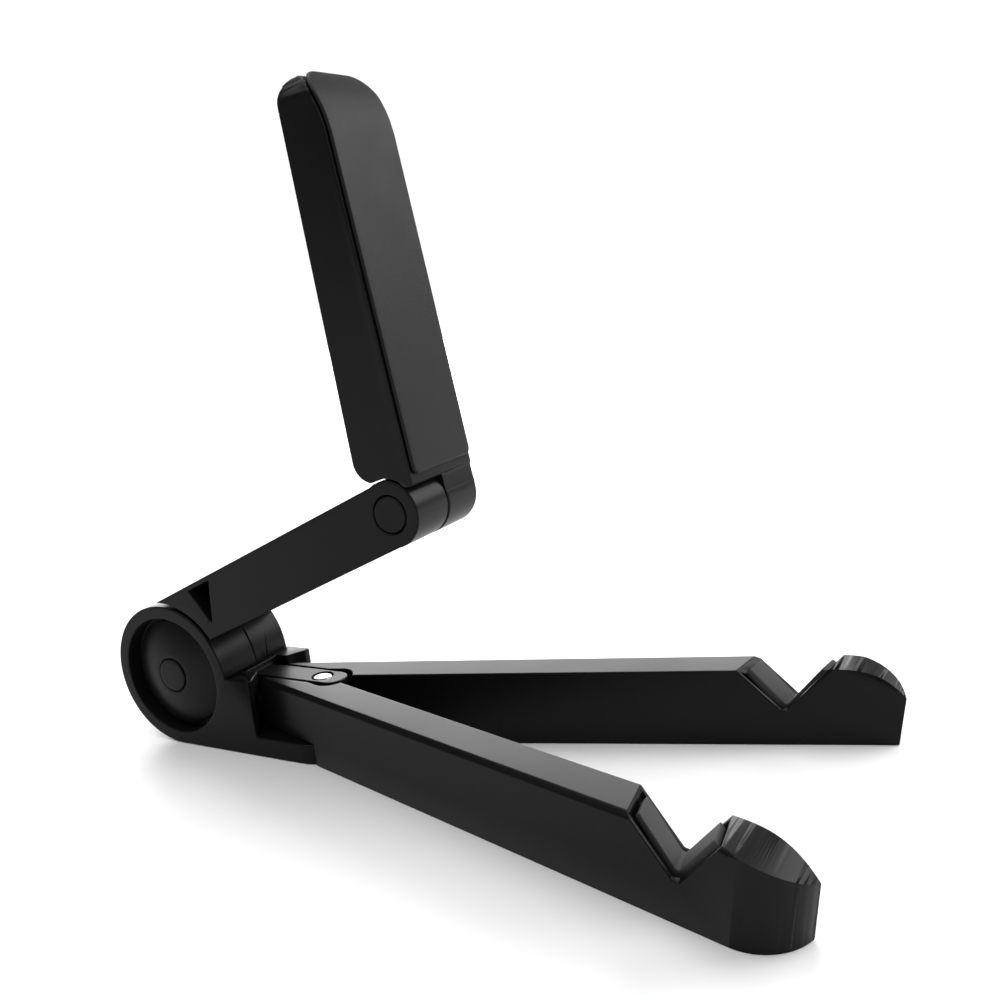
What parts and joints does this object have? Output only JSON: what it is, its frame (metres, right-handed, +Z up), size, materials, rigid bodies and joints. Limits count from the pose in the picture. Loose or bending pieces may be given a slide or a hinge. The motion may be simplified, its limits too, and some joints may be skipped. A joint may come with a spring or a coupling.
{
  "type": "folding phone and tablet stand",
  "caption": "Folding stand whose spreading legs have notches for the lower edge of a phone or tablet, and whose jointed arm props its back.",
  "frame": {"origin": "on the leg pivot's axis, at the resting plane", "axes": "+Z up, -Y from the hub towards the notched leg tips, +X to the right when looking along +Y from the leg tips to the hub; the arm's shoulder and elbow axes run along X"},
  "size_m": [0.0914, 0.1933, 0.1577],
  "materials": {
    "shell": "satin moulded",
    "cover": "satin moulded",
    "grip_rubber": "matte",
    "pad_rubber": "matte",
    "steel": "nickel plated"
  },
  "bodies": {
    "base": {"hub_body": "shell", "shoulder_cover_left": "cover", "shoulder_button_left": "cover", "leg_pin": "steel", "leg_pin_washer": "steel", "hub_foot": "grip_rubber", "shoulder_bolt": "steel", "shoulder_washer": "steel", "shoulder_friction_disc": "steel"},
    "left_leg": {"leg_left": "shell", "notch_pad_left": "grip_rubber", "leg_foot_left": "grip_rubber"},
    "right_leg": {"leg_right": "shell", "notch_pad_right": "grip_rubber", "leg_foot_right": "grip_rubber"},
    "lower_link": {"lower_arm": "shell", "shoulder_cover_right": "cover", "shoulder_button_right": "cover", "shoulder_spring_washer": "steel", "shoulder_nut": "steel", "elbow_bolt": "steel", "elbow_washer": "steel", "elbow_cap_left": "cover"},
    "upper_link": {"upper_arm": "shell", "pad_carrier": "cover", "rest_pad": "pad_rubber", "elbow_spring_washer": "steel", "elbow_nut": "steel", "elbow_cap_right": "cover"}
  },
  "joints": [
    {"name": "left_leg_spread", "type": "hinge", "parent": "base", "child": "left_leg", "pos_m": [0, 0, 0.0095], "axis": [0, 0, 1], "range_deg": [0, 15.5]},
    {"name": "right_leg_spread", "type": "hinge", "parent": "base", "child": "right_leg", "pos_m": [0, 0, 0.0095], "axis": [0, 0, -1], "range_deg": [0, 15.5]},
    {"name": "shoulder", "type": "hinge", "parent": "base", "child": "lower_link", "pos_m": [0, 0.0407, 0.019], "axis": [-1, 0, 0], "range_deg": [-22.5, 80]},
    {"name": "elbow", "type": "hinge", "parent": "lower_link", "child": "upper_link", "pos_m": [0, -0.037, 0.06429], "axis": [-1, 0, 0], "range_deg": [-75, 11]}
  ]
}
